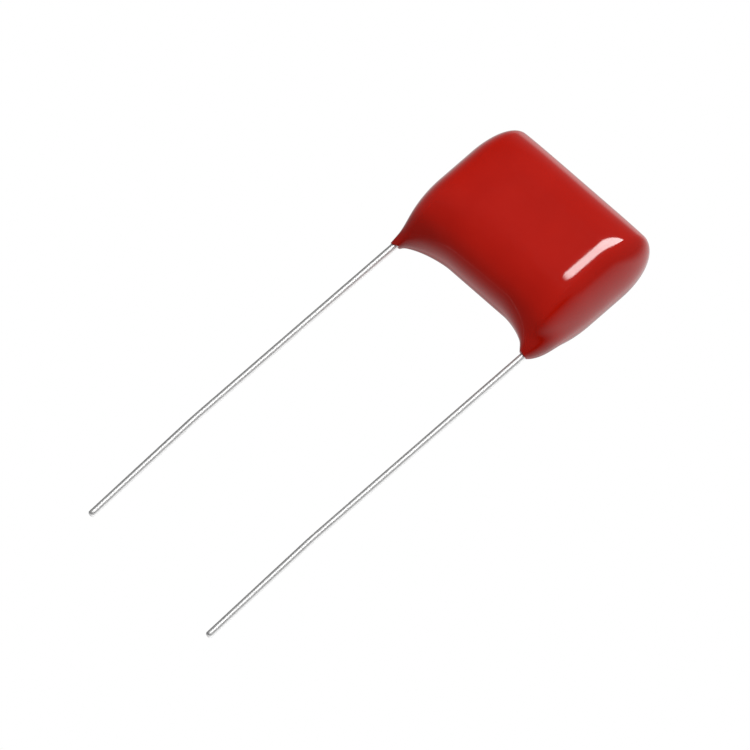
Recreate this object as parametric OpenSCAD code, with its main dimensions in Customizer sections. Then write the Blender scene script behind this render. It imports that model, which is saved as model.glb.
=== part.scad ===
// Dipped metallised-film capacitor with two radial wires.
//
// An oval roll of metallised film has a sprayed metal contact on each end. A tinned wire lies in
// a groove across each contact and is held there by a weld bead. The whole roll is dipped in
// epoxy, which rounds it off like a pillow and runs a little way down both wires.
//
// The part lies flat on one broad face. +X runs from wire to wire, +Y from the wires' tips to the
// top of the body and +Z up through its thickness. The origin is the middle of the face it lies on.
// All lengths are in millimetres.

/* [Film roll] */
// Height of the flattened roll of film
roll_h = 11.3; // [9:0.1:14]
// Thickness of the flattened roll of film
roll_t = 6.3; // [5:0.1:7]
// Thickness of the blank film wrapped round the roll
wrap_t = 0.12; // [0.08:0.01:0.3]
// Thickness of the sprayed metal contact on each end of the roll
spray_t = 0.5; // [0.4:0.05:0.8]

/* [Wires] */
// Distance between the two wires' axes
lead_pitch = 15; // [12:0.1:20]
// Diameter of the wire
lead_d = 0.6; // [0.5:0.05:0.8]
// Depth to which the wire is pressed into the contact
lead_sink = 0.12; // [0.08:0.01:0.2]
// How far past the middle of the body the wire runs up its contact
lead_rise = 3.6; // [2:0.1:4.2]
// Free length of the left wire, from the coating to its tip
left_len = 36.2; // [25:0.1:40]
// Free length of the right wire, from the coating to its tip
right_len = 37.4; // [25:0.1:40]
// Length of the straight run from the slight knee in each wire to its tip
tip_run = 12.5; // [8:0.5:16]
// Angle of that knee
knee_angle = 1.9; // [0.5:0.1:4]
// Chamfer on the cut end of each wire
tip_chamfer = 0.06; // [0.02:0.01:0.12]
// Radius of the weld bead about the wire
weld_r = 0.52; // [0.45:0.01:0.6]
// Length of the weld bead along the wire, without its round ends
weld_len = 3.4; // [2:0.1:5]

/* [Coating] */
// Coating outside the wires, on each end of the body
cover_end = 1.3; // [1:0.05:1.5]
// Coating over the broad sides of the roll
cover_face = 1; // [0.8:0.05:1.3]
// Coating over the top of the roll
cover_top = 0.95; // [0.8:0.05:1.3]
// Coating under the bottom of the roll
cover_foot = 0.95; // [0.8:0.05:1.3]
// How far in from each end the body begins to round off
end_round = 2.2; // [1.8:0.1:3]
// How far in from the top and the bottom the body begins to round off
roll_round = 4.7; // [3.8:0.1:5.6]
// Share of its thickness that the body loses from its middle to each end, before it rounds off
crown = 0.39; // [0.25:0.01:0.45]

/* [Skirts down the wires] */
// How far the coating runs down each wire below the body
skirt_drop = 1.68; // [1.2:0.02:2.2]
// How far the skirt spreads sideways from the wire
skirt_reach = 4.1; // [3.4:0.1:4.6]
// How quickly the skirt narrows towards the wire
skirt_power = 1.5; // [1.3:0.05:2.2]
// Thickness of the coating where it ends on the wire
skirt_film = 0.07; // [0.05:0.01:0.15]
// Spread of the left skirt's tip, per millimetre up the wire
left_flare = 0.1; // [0.05:0.05:0.8]
// Spread of the right skirt's tip, per millimetre up the wire
right_flare = 0.9; // [0.1:0.05:1.2]

/* [Hidden] */

LEFT = -1;
RIGHT = 1;
$fn = 48;

// The coated body, without its skirts
body_w = lead_pitch + lead_d + 2 * cover_end;
body_h = roll_h + cover_top + cover_foot;
body_t = roll_t + 2 * cover_face;

// The mid-plane through the thickness holds both wires' axes
mid_z = body_t / 2;
lead_r = lead_d / 2;
lead_x = lead_pitch / 2;
// The wires leave the coating this far below the middle of the body
exit_y = body_h / 2 + skirt_drop;

// The roll's top and bottom, and the outer faces of its contacts
roll_top = body_h / 2 - cover_top;
roll_foot = -body_h / 2 + cover_foot;
contact_x = lead_x - lead_r + lead_sink;
// Extra length of a cut, so that it runs clear through
overcut = 1;

// Half width and half height of the flat that is left on each broad face
flat_x = body_w / 2 - end_round;
flat_y = body_h / 2 - roll_round;
// How late the body thins towards its ends, as a power of the distance from its middle
crown_power = 5;

// The skirt's tip is a collar about the wire, which widens up to just inside the body's end
collar_r = lead_r + skirt_film;
collar_blend = 0.55;
collar_room = body_w / 2 - lead_x - collar_r - collar_blend / 2;
// How quickly the skirt fades out up the body, as a power of the height
fade_power = 2;

// The skin is found along rays in planes that fan out from this pivot, under each skirt's foot
pivot_share = 0.27;
pivot_x = lead_x - skirt_reach / 2;
pivot_y = -exit_y + pivot_share * skirt_drop;
ray_far = body_w + body_h;
ray_halvings = 30;
rays = 44;
// The rays lean towards the body's top, bottom and ends, where the skin curves most
ray_lean = 0.55;
skirt_planes = 4;
side_planes = 9;
corner_planes = 12;
top_planes = 5;
middle_planes = 5;

function clamp01(v) = min(max(v, 0), 1);
function over(v, flat) = max(abs(v) - flat, 0);

// Smaller of two values, with a smooth change from one to the other
function smooth_min(a, b, k) =
    let (h = max(k - abs(a - b), 0) / k)
    min(a, b) - h * h * h * k / 6;

// Distance of a point from the nearer wire's axis
function wire_distance(p) = norm([abs(p.x) - lead_x, p.z]);

// How far the skin is drawn down the wire at a point
function drape(p, r) =
    let (
        near = 1 - clamp01((r - collar_r) / skirt_reach),
        low = clamp01(-p.y / exit_y)
    )
    skirt_drop * pow(near, skirt_power) * pow(low, fade_power);

// Half thickness of the body at a distance from its middle
function half_thickness(x) = mid_z * (1 - crown * pow(abs(x) / (body_w / 2), crown_power));

// Depth of a point inside the pillow: below zero inside the skin, above zero outside
function pillow(p, r) =
    let (
        x = over(p.x, flat_x) / end_round,
        y = over(p.y + drape(p, r), flat_y) / roll_round,
        z = p.z / half_thickness(p.x)
    )
    end_round * (norm([x, y, z]) - 1);

// The same for the collar at the skirt's tip
function collar(p, r) =
    let (
        flare = p.x > 0 ? right_flare : left_flare,
        up = max(p.y + exit_y, 0)
    )
    p.y > 0 ? collar_room : r - collar_r - collar_room * (1 - exp(-flare * up / collar_room));

function skin(p) =
    let (r = wire_distance(p))
    smooth_min(pillow(p, r), collar(p, r), collar_blend);

// Distance along a ray at which it leaves the skin, by halving the stretch that holds the point
function leave(from, along, near, far, steps) =
    let (mid = (near + far) / 2)
    steps == 0 ? mid
    : skin(from + along * mid) < 0 ? leave(from, along, mid, far, steps - 1)
    : leave(from, along, near, mid, steps - 1);

// Steps along the right half of the body's outline, from low on its end to the middle of its top
outline = concat(
    [for (i = [1 : side_planes]) [body_w / 2, pivot_y + (flat_y - pivot_y) * i / side_planes]],
    [for (i = [1 : corner_planes])
        let (a = 90 * i / corner_planes)
        [flat_x + end_round * cos(a), flat_y + roll_round * sin(a)]],
    [for (i = [1 : top_planes]) [flat_x + (pivot_x - flat_x) * i / top_planes, body_h / 2]]
);

// Each plane is [centre, direction outwards, room inwards]; first those across the skirt
skirt_sections = [
    for (i = [0 : skirt_planes])
        [[lead_x, -exit_y + (pivot_y + exit_y) * i / skirt_planes], [1, 0], lead_x - pivot_x]
];

// then those that fan out from the pivot to each step of the outline
fan_sections = [
    for (p = outline)
        let (
            out = p - [pivot_x, pivot_y],
            dir = out / norm(out),
            reach = [lead_x - pivot_x, -pivot_y],
            room = reach.x * reach.y / norm([reach.y * dir.x, reach.x * dir.y])
        )
        [[pivot_x, pivot_y] + dir * room, dir, room]
];

// and last those across the middle of the body
middle_sections = [
    for (i = [1 : middle_planes])
        [[pivot_x * (1 - i / middle_planes), 0], [0, 1], body_h]
];

sections = concat(skirt_sections, fan_sections, middle_sections);

// Direction of a ray in its plane, as [outwards, up]
function ray_turn(i) =
    let (a = 360 * i / rays, v = [cos(a), ray_lean * sin(a)])
    v / norm(v);

function section_ring(section, side) = [
    for (i = [0 : rays - 1])
        let (
            turn = ray_turn(i),
            out = section[1] * turn.x,
            along = [side * out.x, out.y, turn.y],
            from = [side * section[0].x, section[0].y, 0],
            far = turn.x < 0 ? min(ray_far, -section[2] / turn.x) : ray_far
        )
        from + along * leave(from, along, 0, far, ray_halvings)
];

// Rings of points from the right wire's exit, over the body, to the left wire's exit
skin_rings = concat(
    [for (s = sections) section_ring(s, RIGHT)],
    [for (i = [len(sections) - 2 : -1 : 0]) section_ring(sections[i], LEFT)]
);

module skin_solid() {
    last = len(skin_rings) - 1;
    polyhedron(
        points = [for (ring = skin_rings, p = ring) p],
        faces = concat(
            [[for (i = [0 : rays - 1]) i]],
            [for (k = [0 : last - 1], i = [0 : rays - 1])
                let (j = (i + 1) % rays)
                [k * rays + i, (k + 1) * rays + i, (k + 1) * rays + j]],
            [for (k = [0 : last - 1], i = [0 : rays - 1])
                let (j = (i + 1) % rays)
                [k * rays + i, (k + 1) * rays + j, k * rays + j]],
            [[for (i = [rays - 1 : -1 : 0]) last * rays + i]]
        )
    );
}

// Flattened roll of the given thickness and ends, along X and centred on the mid-plane
module roll_block(x0, x1, inset) {
    r = roll_t / 2 - inset;
    translate([x0, 0, mid_z])
        rotate([90, 0, 90])
            linear_extrude(x1 - x0)
                union() {
                    translate([roll_foot + inset + r, -r])
                        square([roll_top - roll_foot - 2 * inset - 2 * r, 2 * r]);
                    for (y = [roll_foot + inset + r, roll_top - inset - r])
                        translate([y, 0])
                            circle(r, $fn = 96);
                }
}

// Round bar along Y at a wire's place, from y0 to y1
module wire_bar(side, y0, y1, r) {
    translate([side * lead_x, y0, mid_z])
        rotate([-90, 0, 0])
            cylinder(h = y1 - y0, r = r);
}

module wire_run(side) {
    wire_bar(side, -exit_y - overcut, lead_rise, lead_r);
}

// Round-ended bead about the wire's axis, as a turned shape
module capsule(length, r) {
    rotate_extrude()
        intersection() {
            translate([0, -length / 2 - r])
                square([r, length + 2 * r]);
            union() {
                translate([0, -length / 2])
                    square([r, length]);
                for (end = [-1, 1])
                    translate([0, end * length / 2])
                        circle(r);
            }
        }
}

module weld_bead(side) {
    difference() {
        translate([side * lead_x, 0, mid_z])
            rotate([-90, 0, 0])
                capsule(weld_len, weld_r);
        roll_block(-contact_x, contact_x, 0);
        wire_run(side);
    }
}

module epoxy_coating() {
    color([0.69, 0.11, 0.09])
        difference() {
            translate([0, 0, mid_z])
                skin_solid();
            roll_block(-contact_x, contact_x, 0);
            for (side = [LEFT, RIGHT]) {
                wire_run(side);
                weld_bead(side);
            }
        }
}

module outer_wrap() {
    color([0.86, 0.83, 0.74])
        difference() {
            roll_block(spray_t - contact_x, contact_x - spray_t, 0);
            roll_block(-contact_x, contact_x, wrap_t);
        }
}

module film_winding() {
    color([0.78, 0.79, 0.8])
        roll_block(spray_t - contact_x, contact_x - spray_t, wrap_t);
}

module end_spray(side) {
    inner = contact_x - spray_t;
    color([0.55, 0.56, 0.57])
        difference() {
            roll_block(min(side * inner, side * contact_x), max(side * inner, side * contact_x), 0);
            wire_run(side);
        }
}

module weld(side) {
    color([0.72, 0.73, 0.74])
        weld_bead(side);
}

// Everything on one side of the knee's mitre plane: above it for 1, below it for -1
module knee_side(up) {
    size = 4 * lead_d;
    rotate([0, 0, knee_angle / 2])
        translate([-size / 2, up > 0 ? 0 : -size, -size / 2])
            cube(size);
}

// Straight wire out of the coating, a slight knee towards +X and a straight run to the cut tip
module lead(side, free_len) {
    knee_y = -exit_y - free_len + tip_run;
    color([0.83, 0.84, 0.85])
        translate([side * lead_x, knee_y, mid_z])
            union() {
                difference() {
                    translate([0, -lead_r, 0])
                        rotate([-90, 0, 0])
                            cylinder(h = lead_rise - knee_y + lead_r, r = lead_r);
                    knee_side(-1);
                }
                difference() {
                    rotate([0, 0, knee_angle])
                        translate([0, lead_r, 0])
                            rotate([90, 0, 0])
                                tip_cylinder(tip_run + lead_r);
                    knee_side(1);
                }
            }
}

// Wire of the given length along Z, with its cut end chamfered
module tip_cylinder(length) {
    rotate_extrude()
        polygon([
            [0, 0], [lead_r, 0], [lead_r, length - tip_chamfer],
            [lead_r - tip_chamfer, length], [0, length]
        ]);
}

epoxy_coating();
outer_wrap();
film_winding();
end_spray(LEFT);  // end_spray_left
end_spray(RIGHT);  // end_spray_right
weld(LEFT);  // weld_left
weld(RIGHT);  // weld_right
lead(LEFT, left_len);  // lead_left
lead(RIGHT, right_len);  // lead_right
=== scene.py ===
"""Dipped film capacitor: its look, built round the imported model."""
import math

import bmesh
import bpy
import numpy as np
from mathutils import Matrix, Vector


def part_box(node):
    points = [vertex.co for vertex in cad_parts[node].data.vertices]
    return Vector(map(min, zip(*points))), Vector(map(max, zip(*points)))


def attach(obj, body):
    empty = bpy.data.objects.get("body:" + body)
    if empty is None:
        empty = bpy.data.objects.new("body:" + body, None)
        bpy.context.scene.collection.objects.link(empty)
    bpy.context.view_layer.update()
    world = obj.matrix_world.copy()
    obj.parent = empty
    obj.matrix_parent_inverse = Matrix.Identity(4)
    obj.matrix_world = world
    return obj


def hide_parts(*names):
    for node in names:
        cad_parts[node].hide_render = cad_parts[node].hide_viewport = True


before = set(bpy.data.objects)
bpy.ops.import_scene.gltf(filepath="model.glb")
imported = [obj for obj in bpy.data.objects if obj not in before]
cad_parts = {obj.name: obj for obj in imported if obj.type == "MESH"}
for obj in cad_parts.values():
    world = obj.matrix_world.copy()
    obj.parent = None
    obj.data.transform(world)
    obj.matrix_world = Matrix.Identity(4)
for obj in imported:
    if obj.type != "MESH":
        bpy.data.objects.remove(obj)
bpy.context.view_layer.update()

MM = 0.001

# ------------------------------------------------ sizes in millimetres, as in the part's source
lead_pitch, lead_d = 15.0, 0.6
lead_x, lead_r = lead_pitch / 2, lead_d / 2
body_w, body_h, body_t = 18.2, 13.2, 8.3
mid_z = body_t / 2
# how the body is rounded across its ends and over its roll
end_round, roll_round = 2.2, 4.7
flat_x = body_w / 2 - end_round
flat_y = body_h / 2 - roll_round
# how much thinner the body is at its ends, and how late that sets in
crown, crown_power = 0.39, 5.0
# how far the lower edge sags to each wire, from how far away, and how the sag fades sideways and upwards
skirt_drop, skirt_reach, skirt_power, fade_power = 1.68, 4.1, 1.5, 2.0
exit_y = body_h / 2 + skirt_drop
# the collar round each wire: its thickness at the exit, how it widens above that, its blend into the body
skirt_film, left_flare, right_flare, collar_blend = 0.07, 0.1, 0.9, 0.55
collar_r = lead_r + skirt_film
collar_room = body_w / 2 - lead_x - collar_r - collar_blend / 2
# the knee in each wire: its angle, and the straight run below it
knee_angle, tip_run = math.radians(1.9), 12.5

# ------------------------------------------------ sizes in millimetres of detail that is only drawn here
# the rounded lip where the coating ends on a wire
lip_bulge = 0.045
# the coating runs further down one side of each wire, the left (-1) and the right (1): how far, and
# toward which angle in the XZ plane
LIP_RUN = {-1: (0.34, math.radians(125)), 1: (0.16, math.radians(60))}
# how high and how wide round each exit that reaches, and how it fades round the wire
lip_height, lip_width, lip_power = 1.1, 1.6, 1.5
# the length over which a wire bends at its knee, and how its inner end and tip are rounded
knee_bend, inner_round, tip_round = 1.6, 0.04, 0.2
# painted shade: how much the red is darkened near the left wire's exit and along the lower edge, standing
# in for shade that the lamps don't cast there: as a share, and where
skirt_painted_shade, skirt_shade_reach = 0.24, 6.8
edge_painted_shade, edge_shade_from, edge_shade_to = 0.26, -5.0, -6.6

# ------------------------------------------------ how finely the meshes are drawn
# points in a ring of the skin, and rings up the foot, up the side, round the shoulder, along the top
# and over the middle
RAYS = 176
FOOT_RINGS, SIDE_RINGS, SHOULDER_RINGS, TOP_RINGS, MIDDLE_RINGS = 15, 40, 48, 16, 22
LIP_RINGS = 5
# the pivot that the rings fan out round lies above the exits by this share of skirt_drop
PIVOT_LIFT = 0.27
# below 1, the rays of a ring crowd toward its two ends, where the skin bends most
RAY_SPREAD = 0.55
# a ray's search for the skin: a length in millimetres that no ray reaches, and the times it is halved
BEYOND, HALVINGS = 30.0, 44
# points around a wire, and steps down its straight run, round its bend, down its tip, round its ends
WIRE_SIDES = 56
STRAIGHT_STEPS, BEND_STEPS, TIP_STEPS = 60, 12, 24
INNER_END_STEPS, TIP_END_STEPS = 5, 6
# the CAD coating's inner faces lie this deep within the skin, or this close to a wire and its exit
CAVITY_DEPTH, BORE_MARGIN, BORE_LENGTH = 0.045, 0.02, 3
# edges that bend by more than this, in degrees, are drawn sharp
COATING_SHARP, WIRE_SHARP = 50, 40
# a difference that counts as none: in a direction, in millimetres, in metres, and in decimals of 1 mm
TINY, LEVEL, SAME_PLACE, WELD_DECIMALS = 1e-9, 1e-3, 1e-8, 4


# ------------------------------------------------ meshes
def band(first, second):
    """Four-sided faces between two rings of point numbers."""
    return list(zip(first, np.roll(first, -1), np.roll(second, -1), second))


def closed_object(name, points, faces, sharp_degrees):
    """A smooth object with its faces turned outwards; it prints how many edges aren't shared by two."""
    mesh = bpy.data.meshes.new(name)
    mesh.from_pydata([tuple(point * MM) for point in points], [], [tuple(map(int, face)) for face in faces])
    mesh.validate()
    work = bmesh.new()
    work.from_mesh(mesh)
    bmesh.ops.remove_doubles(work, verts=work.verts, dist=SAME_PLACE)
    bmesh.ops.recalc_face_normals(work, faces=work.faces)
    loose = [edge for edge in work.edges if not edge.link_faces]
    bmesh.ops.delete(work, geom=loose, context="EDGES")
    open_edges = sum(len(edge.link_faces) != 2 for edge in work.edges)
    work.to_mesh(mesh)
    work.free()
    mesh.shade_smooth()
    mesh.set_sharp_from_angle(angle=math.radians(sharp_degrees))
    print(name, "faces", len(mesh.polygons), "edges not shared by two faces", open_edges)
    made = bpy.data.objects.new(name, mesh)
    bpy.context.scene.collection.objects.link(made)
    return made


# ------------------------------------------------ the coating
def over(value, flat):
    return np.maximum(np.abs(value) - flat, 0)


def skin(x, y, z):
    """Below zero inside the coating's outer skin; z is measured from the mid-plane."""
    from_wire = np.hypot(np.abs(x) - lead_x, z)
    near = 1 - np.clip((from_wire - collar_r) / skirt_reach, 0, 1)
    low = np.clip(-y / exit_y, 0, 1)
    draped = y + skirt_drop * near ** skirt_power * low ** fade_power
    across = over(x, flat_x) / end_round
    down = over(draped, flat_y) / roll_round
    half_thickness = mid_z * (1 - crown * (np.abs(x) / (body_w / 2)) ** crown_power)
    pillow = end_round * (np.sqrt(across ** 2 + down ** 2 + (z / half_thickness) ** 2) - 1)
    flare = np.where(x > 0, right_flare, left_flare)
    above_exit = np.maximum(y + exit_y, 0)
    widening = collar_room * (1 - np.exp(-flare * above_exit / collar_room))
    collar = np.where(y > 0, collar_room, from_wire - collar_r - widening)
    # where the two are nearly equal, they blend into one smooth surface
    blend = np.maximum(collar_blend - np.abs(pillow - collar), 0) / collar_blend
    return np.minimum(pillow, collar) - blend ** 3 * collar_blend / 6


def ring_planes():
    """The plane of each ring from the right exit to the body's middle: its centre, its outward
    direction, and how far it reaches inwards from its centre."""
    pivot = np.array([lead_x - skirt_reach / 2, -exit_y + PIVOT_LIFT * skirt_drop])
    reach = np.array([lead_x - pivot[0], -pivot[1]])
    # level rings up the foot
    planes = []
    for i in range(FOOT_RINGS):
        height = -exit_y + (pivot[1] + exit_y) * (i / (FOOT_RINGS - 1))
        planes.append(((lead_x, height), (1.0, 0.0), reach[0]))
    # rings that fan out round the pivot, each toward a point of the body's outline
    outline = []
    for i in range(1, SIDE_RINGS + 1):
        outline.append((body_w / 2, pivot[1] + (flat_y - pivot[1]) * i / SIDE_RINGS))
    for i in range(1, SHOULDER_RINGS + 1):
        turn = math.pi / 2 * i / SHOULDER_RINGS
        outline.append((flat_x + end_round * math.cos(turn), flat_y + roll_round * math.sin(turn)))
    for i in range(1, TOP_RINGS + 1):
        outline.append((flat_x + (pivot[0] - flat_x) * i / TOP_RINGS, body_h / 2))
    for point in outline:
        offset = np.array(point) - pivot
        outward = offset / np.linalg.norm(offset)
        depth = reach[0] * reach[1] / np.hypot(reach[1] * outward[0], reach[0] * outward[1])
        planes.append((tuple(pivot + outward * depth), tuple(outward), depth))
    # upright rings over the middle
    for i in range(1, MIDDLE_RINGS + 1):
        planes.append(((pivot[0] * (1 - i / MIDDLE_RINGS), 0.0), (0.0, 1.0), body_h))
    return planes


def skin_ring(plane, side):
    """The skin's points in one plane, found along rays from the plane's centre."""
    centre, direction, depth = plane
    angles = 2 * math.pi * np.arange(RAYS) / RAYS
    rays = np.stack([np.cos(angles), RAY_SPREAD * np.sin(angles)], 1)
    rays /= np.linalg.norm(rays, axis=1, keepdims=True)
    outward, upward = rays[:, 0], rays[:, 1]
    along = np.stack([side * direction[0] * outward, direction[1] * outward, upward], 1)
    start = np.array([side * centre[0], centre[1], 0.0])
    near = np.zeros(RAYS)
    # a ray that runs inwards stops where its plane does
    far = np.where(outward < -TINY, np.minimum(BEYOND, -depth / np.minimum(outward, -TINY)), BEYOND)
    for _ in range(HALVINGS):
        middle = (near + far) / 2
        inside = skin(*(start + along * middle[:, None]).T) < 0
        near = np.where(inside, middle, near)
        far = np.where(inside, far, middle)
    return start + along * ((near + far) / 2)[:, None]


def skin_points():
    """Rings of points from the right wire's exit, over the body, to the left wire's exit."""
    planes = ring_planes()
    rings = [skin_ring(plane, 1) for plane in planes]
    rings += [skin_ring(plane, -1) for plane in planes[-2::-1]]
    points = np.concatenate(rings)
    points[:, 2] += mid_z
    return points


def cavity():
    """Points and triangles of the CAD coating's cavity and bores: its faces that lie within the skin."""
    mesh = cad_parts["epoxy_coating"].data
    points = np.zeros(len(mesh.vertices) * 3)
    mesh.vertices.foreach_get("co", points)
    points = points.reshape(-1, 3) / MM
    mesh.calc_loop_triangles()
    triangles = np.array([triangle.vertices[:] for triangle in mesh.loop_triangles])
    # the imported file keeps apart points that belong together
    points, index = np.unique(np.round(points, WELD_DECIMALS), axis=0, return_inverse=True)
    triangles = index.reshape(-1)[triangles]
    x, y, z = points[:, 0], points[:, 1], points[:, 2] - mid_z
    in_bore = (np.hypot(np.abs(x) - lead_x, z) < lead_r + BORE_MARGIN) & (y < -exit_y + BORE_LENGTH)
    within = in_bore | (skin(x, y, z) < -CAVITY_DEPTH)
    triangles = triangles[within[triangles].all(1)]
    a, b, c = triangles.T
    triangles = triangles[(a != b) & (b != c) & (c != a)]
    # the flat end of each collar is drawn anew
    at_exit = np.abs(y + exit_y) < LEVEL
    triangles = triangles[~at_exit[triangles].all(1)]
    used = np.unique(triangles)
    renumbered = np.zeros(len(points), int)
    renumbered[used] = np.arange(len(used))
    return points[used], renumbered[triangles]


def lip_rings(edge, side):
    """Rings of points round the lip where the coating ends on a wire, from the skin's edge to the wire."""
    centre = np.array([side * lead_x, -exit_y, mid_z])
    radial = edge - centre
    radial[:, 1] = 0
    radius = np.linalg.norm(radial, axis=1, keepdims=True)
    rings = []
    for i in range(1, LIP_RINGS + 1):
        turn = math.pi * i / LIP_RINGS
        ring = centre + radial / radius * (lead_r + (radius - lead_r) * (0.5 + 0.5 * math.cos(turn)))
        ring[:, 1] -= lip_bulge * math.sin(turn)
        rings.append(ring)
    return rings


def lip_drop(points, side):
    """How much further the coating runs down the wire at each of these points."""
    run, leading = LIP_RUN[side]
    near = np.clip(1 - (points[:, 1] + exit_y) / lip_height, 0, 1)
    near = near * near * (3 - 2 * near)
    angles = np.arctan2(points[:, 2] - mid_z, points[:, 0] - side * lead_x)
    return run * near * (0.5 + 0.5 * np.cos(angles - leading)) ** lip_power


def zip_rings(outer, inner, points, side):
    """Triangles between two rings of point numbers round one wire that differ in how many they hold."""
    def in_order(ring):
        angles = np.arctan2(points[ring, 2] - mid_z, points[ring, 0] - side * lead_x) % (2 * math.pi)
        order = np.argsort(angles)
        closed_ring = list(ring[order]) + [ring[order[0]]]
        return closed_ring, list(angles[order]) + [angles[order[0]] + 2 * math.pi]

    outer, outer_angles = in_order(outer)
    inner, inner_angles = in_order(inner)
    i = 0
    j = 0
    triangles = []
    while i < len(outer) - 1 or j < len(inner) - 1:
        inner_done = j == len(inner) - 1
        if inner_done or (i < len(outer) - 1 and outer_angles[i + 1] <= inner_angles[j + 1]):
            triangles.append((outer[i], outer[i + 1], inner[j]))
            i += 1
        else:
            triangles.append((outer[i], inner[j + 1], inner[j]))
            j += 1
    return triangles


def build_coating():
    points = skin_points()
    rings = np.arange(len(points)).reshape(-1, RAYS)
    faces = []
    for first, second in zip(rings, rings[1:]):
        faces += band(first, second)
    wire_edges = []
    for side, ring in ((1, rings[0]), (-1, rings[-1])):
        for lip in lip_rings(points[ring], side):
            lip_ring = np.arange(len(points), len(points) + RAYS)
            points = np.concatenate([points, lip])
            faces += band(ring, lip_ring) if side < 0 else band(lip_ring, ring)
            ring = lip_ring
        wire_edges.append((side, ring))
    cavity_points, cavity_faces = cavity()
    first_inside = len(points)
    points = np.concatenate([points, cavity_points])
    at_exit = np.abs(points[:, 1] + exit_y) < LEVEL
    for side, ring in wire_edges:
        bore_edge = at_exit & (points[:, 0] * side > 0)
        bore_edge[:first_inside] = False
        faces += zip_rings(ring, np.flatnonzero(bore_edge), points, side)
    faces += [tuple(face) for face in cavity_faces + first_inside]
    outside = points[:first_inside]
    for side in (1, -1):
        near = np.abs(outside[:, 0] - side * lead_x) < lip_width
        outside[near, 1] -= lip_drop(outside[near], side)
    return closed_object("coating_skin", points, faces, COATING_SHARP)


coating = build_coating()
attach(coating, "root")
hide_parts("epoxy_coating")


# ------------------------------------------------ the wires
def wire_path(side, top, foot):
    """Points down a wire's middle in the XY plane, each with the wire's direction there."""
    # the tip is square to its last run, so the wire's lowest point is one edge of its end
    knee_y = foot + (tip_run * math.cos(knee_angle)) + lead_r * math.sin(knee_angle)
    knee = np.array([side * lead_x, knee_y])
    straight = np.array([0.0, -1.0])
    leaning = np.array([math.sin(knee_angle), -math.cos(knee_angle)])
    bend_top = knee + np.array([0, knee_bend / 2])
    bend_foot = knee + leaning * knee_bend / 2
    path = []
    for i in range(STRAIGHT_STEPS + 1):
        y = top - i * (top - knee_y - knee_bend / 2) / STRAIGHT_STEPS
        path.append((np.array([side * lead_x, y]), straight))
    for i in range(1, BEND_STEPS):
        t = i / BEND_STEPS
        point = (1 - t) ** 2 * bend_top + 2 * t * (1 - t) * knee + t * t * bend_foot
        heading = 2 * (1 - t) * (knee - bend_top) + 2 * t * (bend_foot - knee)
        path.append((point, heading / np.linalg.norm(heading)))
    for i in range(TIP_STEPS + 1):
        path.append((bend_foot + leaning * (tip_run - knee_bend / 2) * i / TIP_STEPS, leaning))
    return path


def end_profile(rounding, steps):
    """The radius and inset of each ring at a rounded end, from the full width to the flat."""
    turns = [math.pi / 2 * i / steps for i in range(steps + 1)]
    return [(lead_r - rounding * (1 - math.cos(turn)), rounding * (1 - math.sin(turn))) for turn in turns]


def wire_ring(point, direction, radius, further=0.0):
    """Points round the wire at a place on its path, or a little further along it."""
    x, y = point + direction * further
    angles = 2 * math.pi * np.arange(WIRE_SIDES) / WIRE_SIDES
    across = radius * np.cos(angles)
    up = radius * np.sin(angles)
    return np.stack([x - direction[1] * across, y + direction[0] * across, mid_z + up], 1)


def build_lead(node, side):
    low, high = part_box(node)
    path = wire_path(side, high.y / MM, low.y / MM)
    # the inner end lies in the coating, so its last small step is left out
    inner_end = end_profile(inner_round, INNER_END_STEPS)[:-1]
    tip_end = end_profile(tip_round, TIP_END_STEPS)
    rings = [wire_ring(*path[0], radius, inset) for radius, inset in reversed(inner_end)]
    rings += [wire_ring(point, direction, lead_r) for point, direction in path[1:-1]]
    rings += [wire_ring(*path[-1], radius, -inset) for radius, inset in tip_end]
    numbers = np.arange(len(rings) * WIRE_SIDES).reshape(-1, WIRE_SIDES)
    faces = []
    for first, second in zip(numbers, numbers[1:]):
        faces += band(first, second)
    # each end is closed by a fan of triangles round its centre
    top_centre = numbers.size
    foot_centre = top_centre + 1
    for i in range(WIRE_SIDES):
        j = (i + 1) % WIRE_SIDES
        faces.append((top_centre, numbers[0][j], numbers[0][i]))
        faces.append((foot_centre, numbers[-1][i], numbers[-1][j]))
    points = np.vstack(rings + [rings[0].mean(0), rings[-1].mean(0)])
    wire = closed_object(node.replace("lead", "wire"), points, faces, WIRE_SHARP)
    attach(wire, "root")
    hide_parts(node)
    return wire


wires = [build_lead("lead_left", -1), build_lead("lead_right", 1)]


# ------------------------------------------------ nodes
def feed(tree, node, inputs):
    """Gives each input, by its name or number, a value or the output that drives it."""
    for name, value in inputs.items():
        if isinstance(value, bpy.types.NodeSocket):
            tree.links.new(value, node.inputs[name])
        else:
            node.inputs[name].default_value = value


def add(tree, kind, inputs, **settings):
    node = tree.nodes.new("ShaderNode" + kind)
    for name, value in settings.items():
        setattr(node, name, value)
    feed(tree, node, inputs)
    return node


def maths(tree, operation, a, b):
    return add(tree, "Math", {0: a, 1: b}, operation=operation).outputs["Value"]


def remap(tree, value, start, end, low=0.0, high=1.0, kind="SMOOTHSTEP"):
    """A change from low to high while the value goes from start to end."""
    inputs = {"Value": value, "From Min": start, "From Max": end, "To Min": low, "To Max": high}
    return add(tree, "MapRange", inputs, interpolation_type=kind).outputs["Result"]


def object_place(tree, scale=(1, 1, 1)):
    place = add(tree, "TexCoord", {}).outputs["Object"]
    return add(tree, "Mapping", {"Vector": place, "Scale": scale}).outputs["Vector"]


def noise(tree, place, scale, detail=2.0, roughness=0.5):
    inputs = {"Vector": place, "Scale": scale, "Detail": detail, "Roughness": roughness}
    return add(tree, "TexNoise", inputs).outputs["Fac"]


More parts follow.
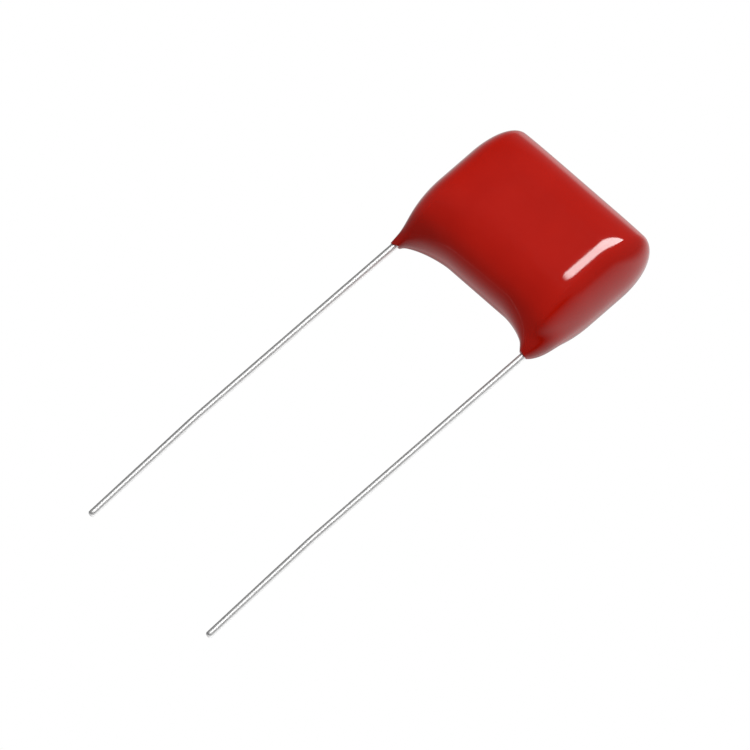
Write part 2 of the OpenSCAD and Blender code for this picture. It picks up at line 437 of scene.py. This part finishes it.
def ramp(tree, factor, start, start_colour, end, end_colour):
    node = add(tree, "ValToRGB", {"Fac": factor})
    stops = node.color_ramp.elements
    for stop, position, colour in zip(stops, (start, end), (start_colour, end_colour)):
        stop.position = position
        stop.color = (*colour, 1)
    return node.outputs["Color"]


def bump(tree, height, strength, distance):
    inputs = {"Height": height, "Strength": strength, "Distance": distance}
    return add(tree, "Bump", inputs).outputs["Normal"]


# ------------------------------------------------ materials; distances in their nodes are in metres
def material(name):
    made = bpy.data.materials.new(name)
    made.use_nodes = True
    return made, made.node_tree, made.node_tree.nodes["Principled BSDF"]


def epoxy_material():
    made, tree, shader = material("red_epoxy")
    place = object_place(tree)
    cloud = noise(tree, place, 260.0, 3.0, 0.55)
    red = ramp(tree, cloud, 0.30, (0.330, 0.0044, 0.0008), 0.70, (0.356, 0.0056, 0.0014))
    # painted shade: the red is darkened on the left skirt and along the lower edge, where shade falls under
    # the body
    height = add(tree, "SeparateXYZ", {"Vector": place}).outputs["Y"]
    edge_shade = remap(tree, height, edge_shade_from * MM, edge_shade_to * MM, 1.0, 1 - edge_painted_shade)
    left_exit = (-lead_x * MM, -exit_y * MM, mid_z * MM)
    from_exit = add(tree, "VectorMath", {0: place, 1: left_exit}, operation="DISTANCE").outputs["Value"]
    skirt_shade = remap(tree, from_exit, 0.0, skirt_shade_reach * MM, 1 - skirt_painted_shade, 1.0)
    strength = maths(tree, "MULTIPLY", edge_shade, skirt_shade)
    red_with_painted_shade = add(tree, "VectorMath", {0: red, "Scale": strength}, operation="SCALE").outputs["Vector"]
    gloss = remap(tree, noise(tree, place, 1500.0), 0.0, 1.0, 0.05, 0.085, "LINEAR")
    wave = noise(tree, place, 330.0, 1.0, 0.4)
    feed(tree, shader, {"Base Color": red_with_painted_shade, "Roughness": gloss, "IOR": 1.5,
                        "Normal": bump(tree, wave, 0.22, 0.00002)})
    return made


def wire_material():
    made, tree, shader = material("tinned_copper")
    streak = noise(tree, object_place(tree, (1, 0.01, 1)), 9000.0)
    tin = ramp(tree, streak, 0.3, (0.86, 0.86, 0.855), 0.7, (0.92, 0.92, 0.92))
    feed(tree, shader, {"Base Color": tin,
                        "Metallic": 0.95,
                        "Specular Tint": (0.35, 0.35, 0.36, 1),
                        "Roughness": remap(tree, streak, 0.0, 1.0, 0.48, 0.54, "LINEAR"),
                        "Normal": bump(tree, streak, 0.08, 0.000003)})
    return made


def wrap_material():
    made, tree, shader = material("wrap_film_clear")
    place = object_place(tree)
    cloud = noise(tree, place, 700.0, 3.0)
    turns = add(tree, "TexWave", {"Vector": place, "Scale": 420.0}).outputs["Fac"]
    amber = ramp(tree, cloud, 0.3, (0.62, 0.58, 0.46), 0.7, (0.72, 0.69, 0.58))
    feed(tree, shader, {"Base Color": amber,
                        "Roughness": 0.25,
                        "IOR": 1.55,
                        "Normal": bump(tree, turns, 0.2, 0.00001)})
    return made


def winding_material():
    made, tree, shader = material("metallised_film_turns")
    streak = noise(tree, object_place(tree, (0.2, 1, 1)), 4000.0)
    turns = add(tree, "TexWave", {"Vector": object_place(tree), "Scale": 3200.0}, bands_direction="Z")
    silver = ramp(tree, streak, 0.35, (0.50, 0.51, 0.53), 0.65, (0.68, 0.69, 0.70))
    feed(tree, shader, {"Base Color": silver,
                        "Metallic": 0.85,
                        "Roughness": 0.28,
                        "Normal": bump(tree, turns.outputs["Fac"], 0.4, 0.00001)})
    return made


def grained_material(name, grain, colours, metallic, roughness, strength, distance):
    """A metal whose grain, a noise of that scale, detail and roughness, colours it and makes it uneven."""
    made, tree, shader = material(name)
    texture = noise(tree, object_place(tree), *grain)
    dark, light = colours
    feed(tree, shader, {"Base Color": ramp(tree, texture, 0.3, dark, 0.7, light),
                        "Metallic": metallic,
                        "Roughness": roughness,
                        "Normal": bump(tree, texture, strength, distance)})
    return made


def dress(piece, finish):
    piece.data.materials.clear()
    piece.data.materials.append(finish)


dress(coating, epoxy_material())
tinned = wire_material()
for wire in wires:
    dress(wire, tinned)
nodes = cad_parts
dress(nodes["outer_wrap"], wrap_material())
dress(nodes["film_winding"], winding_material())
zinc = grained_material("zinc_spray", (6000.0, 4.0, 0.65), ((0.26, 0.26, 0.27), (0.48, 0.48, 0.49)),
                        0.7, 0.62, 0.7, 0.00004)
weld = grained_material("weld_metal_bead", (2500.0, 2.0, 0.5), ((0.55, 0.55, 0.55), (0.74, 0.74, 0.73)),
                        1.0, 0.3, 0.3, 0.00003)
for end in ("left", "right"):
    dress(nodes["end_spray_" + end], zinc)
    dress(nodes["weld_" + end], weld)

# ------------------------------------------------ the floor
scene = bpy.context.scene
scene.view_settings.view_transform = "Standard"
scene.view_settings.look = "None"


def build_floor(half, height):
    """A white floor in metres, just below the object, which it lights from underneath."""
    mesh = bpy.data.meshes.new("floor")
    corners = ((-half, -half), (half, -half), (half, half), (-half, half))
    mesh.from_pydata([(x, y, height) for x, y in corners], [], [(0, 1, 2, 3)])
    white, tree, shader = material("floor_white")
    feed(tree, shader, {"Base Color": (0.0, 0.0, 0.0, 1), "Roughness": 0.9, "Specular IOR Level": 0.0,
                        "Emission Color": (1, 1, 1, 1), "Emission Strength": 1.0})
    mesh.materials.append(white)
    floor = bpy.data.objects.new("floor", mesh)
    scene.collection.objects.link(floor)
    # gloss shows the sheet that the world holds below its horizon instead
    floor.visible_glossy = False
    # the camera sees a room that is as white, so the underside can be seen from below
    floor.visible_camera = False


build_floor(0.6, -0.00005)

# ------------------------------------------------ the room's light
# How bright the room is toward a direction (x, y, z), as sums of these terms: a white sheet lies below
# a wavy, soft horizon, the object shades the sheet right under itself, and the room above is dim
HORIZON = {"1": 0.20, "x": 0.16, "y": -0.07, "xx": 0.41, "yy": -0.41, "xy": -1.19}
SOFTNESS = {"1": 0.57, "x": -0.45}
SHEET = {"1": 0.49, "x": 0.34, "y": -0.17, "z": -0.82, "xz": -0.75}
ROOM = {"1": 0.155, "x": -0.015, "y": 0.07}
LEAST_SOFTNESS, LEAST_SHEET, LEAST_ROOM = 0.05, 0.02, 0.01
SHADE_DEPTH, SHADE_FROM, SHADE_TO = 0.84, -0.86, -1.0
# a white card leans beyond the far edge: its brightness, and where it fades in along each axis
CARD_LEVEL, CARD = 0.5, {"x": (0.1, -0.2), "y": (0.6, 0.85), "z": (-0.2, -0.4)}


def room_level(tree):
    """The output that gives the room's brightness toward each direction."""
    direction = add(tree, "TexCoord", {}).outputs["Generated"]
    axes = add(tree, "SeparateXYZ", {"Vector": direction}).outputs
    toward = {"x": axes["X"], "y": axes["Y"], "z": axes["Z"]}
    for pair in ("xx", "yy", "xy", "xz"):
        toward[pair] = maths(tree, "MULTIPLY", toward[pair[0]], toward[pair[1]])

    def total(terms):
        result = terms["1"]
        for term, weight in terms.items():
            if term != "1":
                result = maths(tree, "ADD", maths(tree, "MULTIPLY", toward[term], weight), result)
        return result

    drop = maths(tree, "SUBTRACT", total(HORIZON), toward["z"])
    softness = maths(tree, "MAXIMUM", total(SOFTNESS), LEAST_SOFTNESS)
    below = remap(tree, maths(tree, "DIVIDE", drop, softness), -1.0, 1.0)
    shade = remap(tree, toward["z"], SHADE_FROM, SHADE_TO, 0.0, SHADE_DEPTH, "LINEAR")
    sheet = maths(tree, "MAXIMUM", maths(tree, "SUBTRACT", total(SHEET), shade), LEAST_SHEET)
    room = maths(tree, "MAXIMUM", total(ROOM), LEAST_ROOM)
    card = CARD_LEVEL
    for axis, (start, end) in CARD.items():
        card = maths(tree, "MULTIPLY", remap(tree, toward[axis], start, end), card)
    lower_part = maths(tree, "MULTIPLY", below, sheet)
    upper_part = maths(tree, "MULTIPLY", maths(tree, "SUBTRACT", 1.0, below), room)
    return maths(tree, "ADD", maths(tree, "ADD", lower_part, upper_part), card)


def build_world():
    world = bpy.data.worlds.new("studio")
    scene.world = world
    world.use_nodes = True
    tree = world.node_tree
    lighting = tree.nodes["Background"]
    feed(tree, lighting, {"Color": (1, 1, 1, 1), "Strength": room_level(tree)})
    # the camera itself sees plain white
    backdrop = add(tree, "Background", {"Color": (1, 1, 1, 1), "Strength": 1.0})
    camera_ray = add(tree, "LightPath", {}).outputs["Is Camera Ray"]
    chosen = add(tree, "MixShader", {"Fac": camera_ray, 1: lighting.outputs["Background"],
                                     2: backdrop.outputs["Background"]})
    feed(tree, tree.nodes["World Output"], {"Surface": chosen.outputs["Shader"]})


build_world()

# ------------------------------------------------ lamps, in metres
LAMP_DISTANCE = 1.2


def area_light(name, toward, width, length, radiance, shape="RECTANGLE"):
    """A soft box in that direction from the body, facing it; radiance is how bright a mirror shows it."""
    data = bpy.data.lights.new(name, "AREA")
    data.shape = shape
    data.size = width
    data.size_y = length
    area = width * length * (math.pi / 4 if shape == "ELLIPSE" else 1)
    data.energy = radiance * math.pi * area
    lamp = bpy.data.objects.new(name, data)
    direction = Vector(toward).normalized()
    lamp.location = direction * LAMP_DISTANCE
    lamp.rotation_euler = direction.to_track_quat("Z", "Y").to_euler()
    lamp.visible_camera = False
    scene.collection.objects.link(lamp)
    return lamp


def build_strip():
    """The long soft box that makes the highlight on the body; its near end fades out."""
    toward = (0.018, 0.575, 0.818)
    strip = area_light("strip_box", toward, 0.215, 1.197, 15.0, "ELLIPSE")
    # its length lies along Y, as far as facing the body allows
    direction = Vector(toward).normalized()
    length_axis = Vector((0, 1, 0))
    length_axis = (length_axis - direction * length_axis.dot(direction)).normalized()
    width_axis = length_axis.cross(direction)
    strip.rotation_euler = Matrix((width_axis, length_axis, direction)).transposed().to_euler()
    strip.data.use_nodes = True
    tree = strip.data.node_tree
    place = add(tree, "NewGeometry", {}).outputs["Parametric"]
    from_near_end = add(tree, "SeparateXYZ", {"Vector": place}).outputs["Y"]
    feed(tree, tree.nodes["Emission"], {"Strength": remap(tree, from_near_end, 0.0, 0.3)})


build_strip()
for name, toward, width, length, radiance in (("fill_box", (-0.03, 0.28, 0.96), 0.9, 0.9, 3.5),
                                              ("side_box", (-0.65, -0.1, 0.75), 0.8, 0.8, 1.41),
                                              ("front_box", (0, -0.95, 0.31), 0.9, 0.5, 2.55)):
    area_light(name, toward, width, length, radiance).visible_glossy = False


# ------------------------------------------------ the camera, in metres
CLIP_START, CLIP_END = 0.1, 10


def build_camera(azimuth, elevation, distance, frame_width, aside, upward):
    """A camera turned to the point midway between the exits, then moved aside and up in its own view."""
    right = Vector((math.cos(azimuth), math.sin(azimuth), 0))
    back = Vector((math.sin(azimuth) * math.cos(elevation), -math.cos(azimuth) * math.cos(elevation),
                   math.sin(elevation)))
    up = back.cross(right)
    data = bpy.data.cameras.new("camera")
    data.lens = data.sensor_width * distance / frame_width
    data.clip_start = CLIP_START
    data.clip_end = CLIP_END
    camera = bpy.data.objects.new("camera", data)
    target = Vector((0, -exit_y * MM, mid_z * MM)) + right * aside + up * upward
    camera.location = target + back * distance
    camera.rotation_euler = back.to_track_quat("Z", "Y").to_euler()
    scene.collection.objects.link(camera)
    scene.camera = camera


build_camera(azimuth=math.radians(45.073), elevation=math.radians(60.3), distance=2.5,
             frame_width=0.06227, aside=-0.007077, upward=-0.006267)
